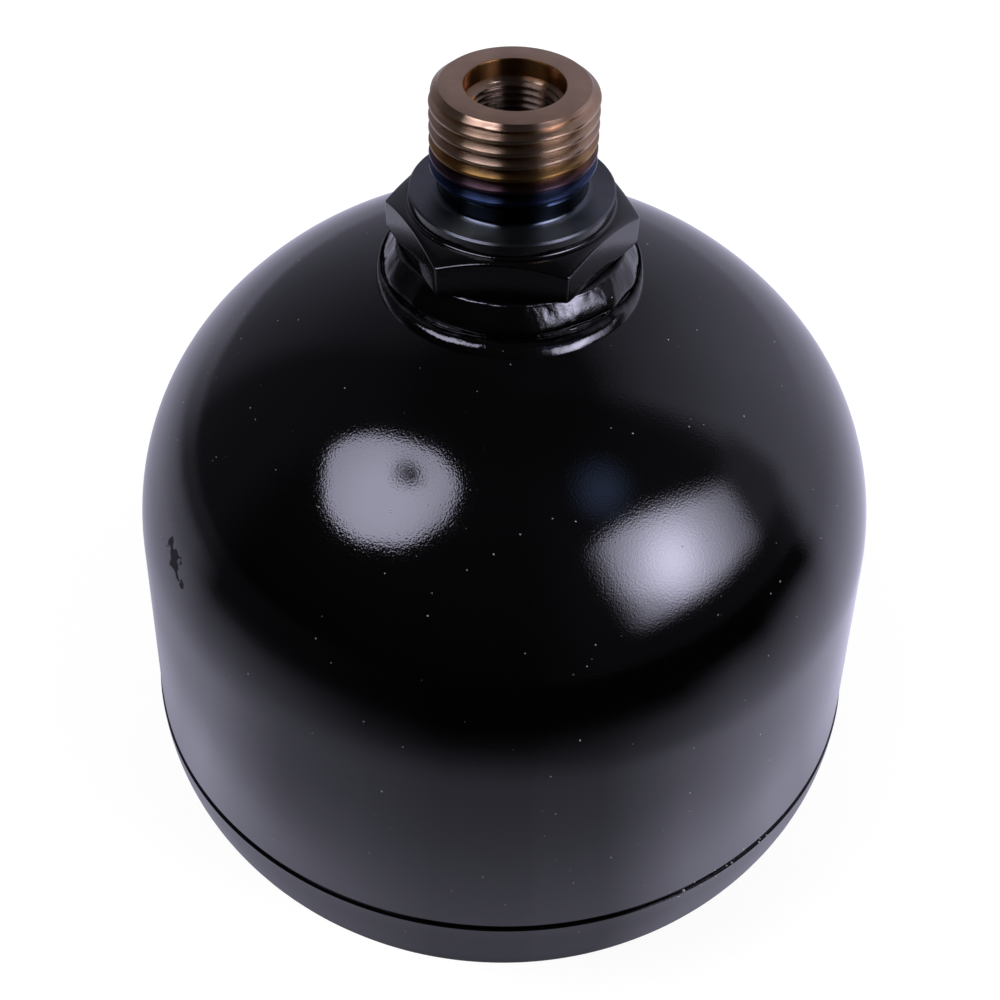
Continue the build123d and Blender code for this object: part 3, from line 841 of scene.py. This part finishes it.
# The fillet weld that carries the boss: a slightly swollen bead with its ripples, pushed out along
# the middle of its corner.
fillet_crown, corner_share = 0.35, 0.7
fillet_foot = (flange_radius, flange_top - gas_weld_leg)
fillet_toe = (flange_radius + gas_weld_leg, lower.crown_z(flange_radius + gas_weld_leg))
fillet_section = [(r, lower.crown_z(r)) for r in np.linspace(flange_radius, fillet_toe[0], 5)]
for share in np.linspace(0, 1, 13)[1:-1]:
    r = fillet_toe[0] + (fillet_foot[0] - fillet_toe[0]) * share
    z = fillet_toe[1] + (fillet_foot[1] - fillet_toe[1]) * share
    arch = 4 * share * (1 - share)
    scallop = 0.10 * wave(flash_angles, share * 1.2, 1.4, flange_radius, 20.0)
    scallop += 0.10 * wave(flash_angles, share, 5.0, flange_radius, 26.0)
    swell = (fillet_crown + scallop) * arch
    fillet_section.append((r + corner_share * swell, z - corner_share * swell))
fillet_section.append(fillet_foot)
fillet = lathed(fillet_section, flash_angles, closed=True)
piece("gas_weld_fillet", [fillet], weld_enamel, ["gas_boss_weld"])

# ---- camera -------------------------------------------------------------------------------------
# It looks down on the crown by 43.9 degrees, from 0.27 m, tipped by 1.3 degrees.
pitch, roll = radians(43.88), radians(1.31)
distance_back, distance_aside, distance_raised = 273.7, -0.70, 22.59  # from the seam's middle
look = Vector((0, cos(pitch), -sin(pitch)))
level_right, level_up = Vector((1, 0, 0)), Vector((0, sin(pitch), cos(pitch)))
stand = look * -distance_back + level_right * distance_aside + level_up * distance_raised
right = level_right * cos(roll) + level_up * sin(roll)
up = level_up * cos(roll) - level_right * sin(roll)
turned = Matrix.Rotation(swing, 3, "Z")
camera_data = bpy.data.cameras.new("camera")
camera_data.lens, camera_data.sensor_width = 57.1, 36.0
camera_data.clip_start, camera_data.clip_end = 0.01, 20.0
camera = bpy.data.objects.new("camera", camera_data)
axes = Matrix([turned @ right, turned @ up, turned @ -look]).transposed()
camera.matrix_world = Matrix.Translation((turned @ stand + Vector((0, 0, seam))) * MM) @ axes.to_4x4()
bpy.context.scene.collection.objects.link(camera)
bpy.context.scene.camera = camera


# ---- studio: tools ------------------------------------------------------------------------------
def mirror_ray(tree):
    """1 for rays that a mirror or glass sends on, 0 for all others."""
    path = add(tree, "ShaderNodeLightPath")
    return calc(tree, "MAXIMUM", path.outputs["Is Glossy Ray"], path.outputs["Is Transmission Ray"])


def seen_by(tree, camera_shader, mirror_shader, other_shader):
    """Give camera rays, mirrored or refracted rays and all other rays a shader each."""
    path = add(tree, "ShaderNodeLightPath")
    inner = {0: mirror_ray(tree), 1: other_shader.outputs[0], 2: mirror_shader.outputs[0]}
    mixed = add(tree, "ShaderNodeMixShader", inner)
    outer = {0: path.outputs["Is Camera Ray"], 1: mixed.outputs[0], 2: camera_shader.outputs[0]}
    return add(tree, "ShaderNodeMixShader", outer)


def staged(name, corners, finish):
    """A flat sheet of the studio, from its corners in metres."""
    mesh = bpy.data.meshes.new(name)
    mesh.from_pydata([tuple(c) for c in corners], [], [tuple(range(len(corners)))])
    made = bpy.data.objects.new(name, mesh)
    bpy.context.scene.collection.objects.link(made)
    mesh.materials.append(finish)
    return made


def azimuth_ramp(tree, turn, stops):
    """Ramp over the azimuth, with its stops in degrees."""
    return ramped(tree, turn, [(turn_share(a), v) for a, v in stops])


# Polished surfaces mirror a studio whose lamps and paper are a little blue.
STUDIO_TINT = (0.92, 0.905, 1.17, 1.0)
NEUTRAL = (1.0, 1.0, 1.0, 1.0)

# ---- studio: floor ------------------------------------------------------------------------------
FLOOR_REACH, POOL_PEAK = 800.0, 1.6
# Each row: the directions it is seen in (degrees, share), then its glow by the distance in mm.
POOL = [
    (
        [(-50, 0), (-30, 0.8), (-12, 1), (14, 1), (30, 0.4), (50, 0)],
        [(0, 0.68), (98, 0.7), (108, 0.57), (120, 0.41), (136, 0.33), (157, 0.25), (185, 0.14)]
        + [(225, 0.045), (300, 0)],
    ),
    (
        [(12, 0), (30, 0.32), (50, 1), (66, 0)],
        [(0, 1.3), (100, 1.37), (110, 1.1), (121, 0.81), (136, 0.74), (157, 0.5), (185, 0.42)]
        + [(225, 0.33), (285, 0.1), (370, 0)],
    ),
    (
        [(50, 0), (66, 1), (76, 1), (90, 0)],
        [(0, 1.35), (100, 1.3), (110, 1.06), (136, 0.88), (157, 0.76), (185, 0.68), (225, 0.56)]
        + [(285, 0.4), (370, 0.15), (490, 0)],
    ),
    (
        [(76, 0), (90, 1), (97, 1), (106, 0)],
        [(0, 0.95), (121, 0.95), (157, 0.87), (225, 0.78), (285, 0.68), (370, 0.52), (490, 0.24)]
        + [(680, 0.02)],
    ),
    (
        [(97, 0), (106, 1), (136, 1), (150, 0.8), (166, 0.4), (180, 0)],
        [(0, 1.0), (110, 0.9), (157, 0.94), (225, 0.96), (285, 0.94), (370, 0.91), (490, 0.85)]
        + [(800, 0.8)],
    ),
    (
        [(-180, 1), (-135, 1), (-110, 0), (150, 0), (166, 0.5), (180, 1)],
        [(0, 0.62), (160, 0.56), (285, 0.66), (490, 0.61), (800, 0.52)],
    ),
    (
        [(-135, 0), (-110, 1), (-90, 0.8), (-78, 0)],
        [(0, 0.55), (90, 0.58), (110, 0.48), (136, 0.6), (285, 0.7), (370, 0.62), (490, 0.55)]
        + [(680, 0.34), (800, 0.16)],
    ),
    (
        [(-110, 0), (-90, 0.3), (-78, 1), (-70, 1), (-50, 0)],
        [(0, 1.08), (100, 1.06), (110, 0.8), (136, 0.7), (157, 0.66), (185, 0.57), (225, 0.47)]
        + [(285, 0.32), (370, 0.09), (490, 0.04)],
    ),
    (
        [(-70, 0), (-50, 1), (-30, 0.35), (-10, 0)],
        [(0, 1.0), (100, 0.95), (110, 0.58), (121, 0.46), (157, 0.5), (185, 0.4), (225, 0.33)]
        + [(285, 0.2), (370, 0.06), (490, 0.03)],
    ),
]
# Painted shadow of the vessel in the mirrored pool: the share of its glow by the distance in mm.
PAINTED_SHADOW_UNDER_VESSEL = [(0, 0.06), (30, 0.08), (45, 0.12), (58, 0.28), (80, 0.6), (95, 0.95), (105, 1.0)]

# Floor: a white paper sheet.  The camera sees it white where the lamps reach it, and a pale grey in
# the object's shadow; polished surfaces see a painted pool of light round the object, which fades
# towards the front, with a painted shadow under the vessel.
floor_finish, floor_tree, floor_place = new_finish("white_paper_sheet")
floor_turn, floor_radius, _ = around_axis(floor_tree, floor_place)
paper = blend(floor_tree, mottle(floor_tree, floor_place, 2.0, 2.0), colour("#f6f6f6"), colour("#ffffff"))
paper_diffuse = add(floor_tree, "ShaderNodeBsdfDiffuse", {"Color": paper})
shadow_catch = add(floor_tree, "ShaderNodeBsdfDiffuse", {"Color": (0.3, 0.3, 0.3, 1.0)})
far_away = remap(floor_tree, floor_radius, 0.15, 1.6, 0.82, 1.0)
paper_glow = add(floor_tree, "ShaderNodeEmission", {"Strength": far_away})
paper_seen = add(floor_tree, "ShaderNodeAddShader", {0: shadow_catch.outputs[0], 1: paper_glow.outputs[0]})
reach = remap(floor_tree, floor_radius, 0.0, FLOOR_REACH * MM)


def across_floor(stops):
    """Ramp over the distance from the vessel's axis, in mm."""
    return ramped(floor_tree, reach, [(r / FLOOR_REACH, v / POOL_PEAK) for r, v in stops])


pool = 0.0
for directions, distances in POOL:
    weight = azimuth_ramp(floor_tree, floor_turn, directions)
    part = calc(floor_tree, "MULTIPLY", weight, across_floor(distances))
    pool = calc(floor_tree, "ADD", part, pool)
painted_vessel_shadow = across_floor([(r, v * POOL_PEAK) for r, v in PAINTED_SHADOW_UNDER_VESSEL])
pool_colour = blend(floor_tree, 1.0, calc(floor_tree, "MULTIPLY", pool, painted_vessel_shadow), STUDIO_TINT, "MULTIPLY")
pool_glow = add(floor_tree, "ShaderNodeEmission", {"Color": pool_colour, "Strength": POOL_PEAK})
close_finish(floor_tree, seen_by(floor_tree, paper_seen, pool_glow, paper_diffuse))
half_floor = 4.0
staged(
    "floor",
    [(x * half_floor, y * half_floor, 0.0) for x, y in ((-1, -1), (1, -1), (1, 1), (-1, 1))],
    floor_finish,
)

# ---- studio: surroundings -----------------------------------------------------------------------
# White for the camera; a pale wall behind and to the right and a dark room elsewhere for mirrored
# rays; an even grey for soft light.
world = bpy.data.worlds.new("studio")
bpy.context.scene.world = world
world.use_nodes = True
sky = world.node_tree
sky.nodes.clear()
sky_turn, _, sky_rise = around_axis(sky, add(sky, "ShaderNodeTexCoord").outputs["Generated"])


def rise_ramp(stops):
    """Ramp over the elevation, with its stops in degrees."""
    return ramped(sky, sky_rise, [(sin(radians(e)), v) for e, v in stops])


WALL = [(-180, 0.47), (-160, 0.37), (-140, 0.25), (-124, 0.18), (-116, 0.06), (-90, 0.05), (-75, 0.0)]
WALL += [(12, 0.0), (30, 0.04), (90, 0.05), (99, 0.12), (108, 0.84), (130, 0.76), (150, 0.5)]
WALL += [(165, 0.45), (180, 0.47)]
wall = azimuth_ramp(sky, sky_turn, WALL)
# A lit strip of the wall on the right starts above the table's height.
strip_turn = band(sky, sky_turn, turn_share(88), turn_share(103), 0.02)
strip_rise = band(sky, sky_rise, sin(radians(14)), sin(radians(27)), 0.09)
wall = blend(sky, calc(sky, "MULTIPLY", strip_turn, strip_rise), wall, (0.26, 0.26, 0.26, 1.0))
above = rise_ramp([(0, 1.0), (25, 0.97), (32, 0.86), (42, 0.66), (52, 0.5), (60, 0.28), (68, 0.02)])
ceiling = rise_ramp([(0, 0.006), (25, 0.02), (60, 0.04), (90, 0.03)])
room = blend(sky, 1.0, blend(sky, 1.0, wall, above, "MULTIPLY"), ceiling, "ADD")
room = blend(sky, 1.0, room, STUDIO_TINT, "MULTIPLY")
sky_white, sky_room, sky_soft = (
    add(sky, "ShaderNodeBackground", {"Strength": strength, "Color": cast})
    for strength, cast in ((1.0, NEUTRAL), (1.0, room), (0.34, NEUTRAL))
)
add(sky, "ShaderNodeOutputWorld", {"Surface": seen_by(sky, sky_white, sky_room, sky_soft).outputs[0]})

# ---- studio: lamps ------------------------------------------------------------------------------
# Softboxes: an octagonal one high on the left, with the lamp's cap as a dark spot, a rectangular one
# lower on the right, with the bulb's hot middle, and the faint blue of a window.
LAMP_DISTANCE, LAMP_AIM = 900.0, 50.0  # from the point they face, and its height over the seam
SOFT_SHARE = 0.75


def softbox(name, azimuth, elevation, outline, base, spots, fades, tint, soft_share):
    """A flat lamp that faces the vessel.

    Spots are (right, up, start, end, change) in mm on its face; fades are (direction in degrees,
    start, end, least) and dim it along a direction from its middle."""
    a, e = radians(azimuth) + swing, radians(elevation)
    toward = Vector((sin(a) * cos(e), -cos(a) * cos(e), sin(e)))
    side = Vector((0, 0, 1)).cross(toward).normalized()
    rise = toward.cross(side)
    centre = (Vector((0, 0, seam + LAMP_AIM)) + toward * LAMP_DISTANCE) * MM
    finish, tree, place = new_finish(name + "_cloth")
    on_face = add(tree, "ShaderNodeVectorMath", {0: place, 1: centre}, operation="SUBTRACT").outputs[0]
    level = base
    for across, upward, start, end, change in spots:
        distance = measure(tree, "DISTANCE", on_face, (side * across + rise * upward) * MM)
        soft = remap(tree, distance, start * MM, end * MM, change, 0.0, interpolation_type="SMOOTHSTEP")
        level = calc(tree, "ADD", soft, level)
    for direction, start, end, least in fades:
        way = side * cos(radians(direction)) + rise * sin(radians(direction))
        along = measure(tree, "DOT_PRODUCT", on_face, way)
        dimmed = remap(tree, along, start * MM, end * MM, 1.0, least, interpolation_type="SMOOTHSTEP")
        level = calc(tree, "MULTIPLY", level, dimmed)
    # Soft light from it is neutral, and plainer than its mirror image.
    mirrored = mirror_ray(tree)
    share = remap(tree, mirrored, 0.0, 1.0, soft_share, 1.0)
    light = {"Color": blend(tree, mirrored, NEUTRAL, tint), "Strength": calc(tree, "MULTIPLY", level, share)}
    glow = add(tree, "ShaderNodeEmission", light)
    # Its dark rim hides nothing of the room behind.
    clear = add(tree, "ShaderNodeBsdfTransparent")
    close_finish(tree, add(tree, "ShaderNodeAddShader", {0: glow.outputs[0], 1: clear.outputs[0]}))
    made = staged(name, [centre + (side * x + rise * y) * MM for x, y in outline], finish)
    made.visible_camera = False
    made.visible_shadow = False


octagon = [(50, 240), (-60, 197), (-150, 150), (-232, 97), (-283, 50), (-322, 0), (-338, -50), (-335, -100)]
octagon += [(-300, -150), (-245, -202), (-190, -247), (-150, -263), (-100, -273), (0, -270), (60, -252)]
octagon += [(140, -207), (205, -157), (248, -100), (266, -50), (286, 0), (293, 45), (280, 100), (262, 150)]
octagon += [(228, 205), (150, 240)]
softbox(
    "octagonal_softbox",
    -54.0,
    50.0,
    octagon,
    5.2,
    [(15, -55, 60, 360, 2.4), (6, 82, 28, 80, -5.2), (60, 98, 12, 62, -3.6), (-60, 190, 50, 160, -0.5)],
    [(0, 190, 300, 0.7)],
    STUDIO_TINT,
    SOFT_SHARE,
)
softbox(
    "rectangular_softbox",
    58.6,
    26.0,
    [(-430, -290), (-430, 335), (460, 335), (460, -290)],
    1.6,
    [(-45, 20, 0, 480, 8.4), (-45, 20, 0, 215, 4.7)],
    [(180, 235, 415, 0.0), (67.7, 160, 265, 0.0), (90, 255, 335, 0.0), (270, 140, 285, 0.0)]
    + [(225, 130, 270, 0.66), (0, 335, 450, 0.0)],
    STUDIO_TINT,
    SOFT_SHARE,
)
softbox(
    "window_glow",
    48.0,
    53.0,
    [(-230, -230), (230, -230), (230, 230), (-230, 230)],
    0.0,
    [(0, 0, 0, 180, 0.8)],
    [],
    (0.35, 0.5, 1.0, 1.0),
    0.0,
)

bpy.context.scene.view_settings.view_transform = "Standard"
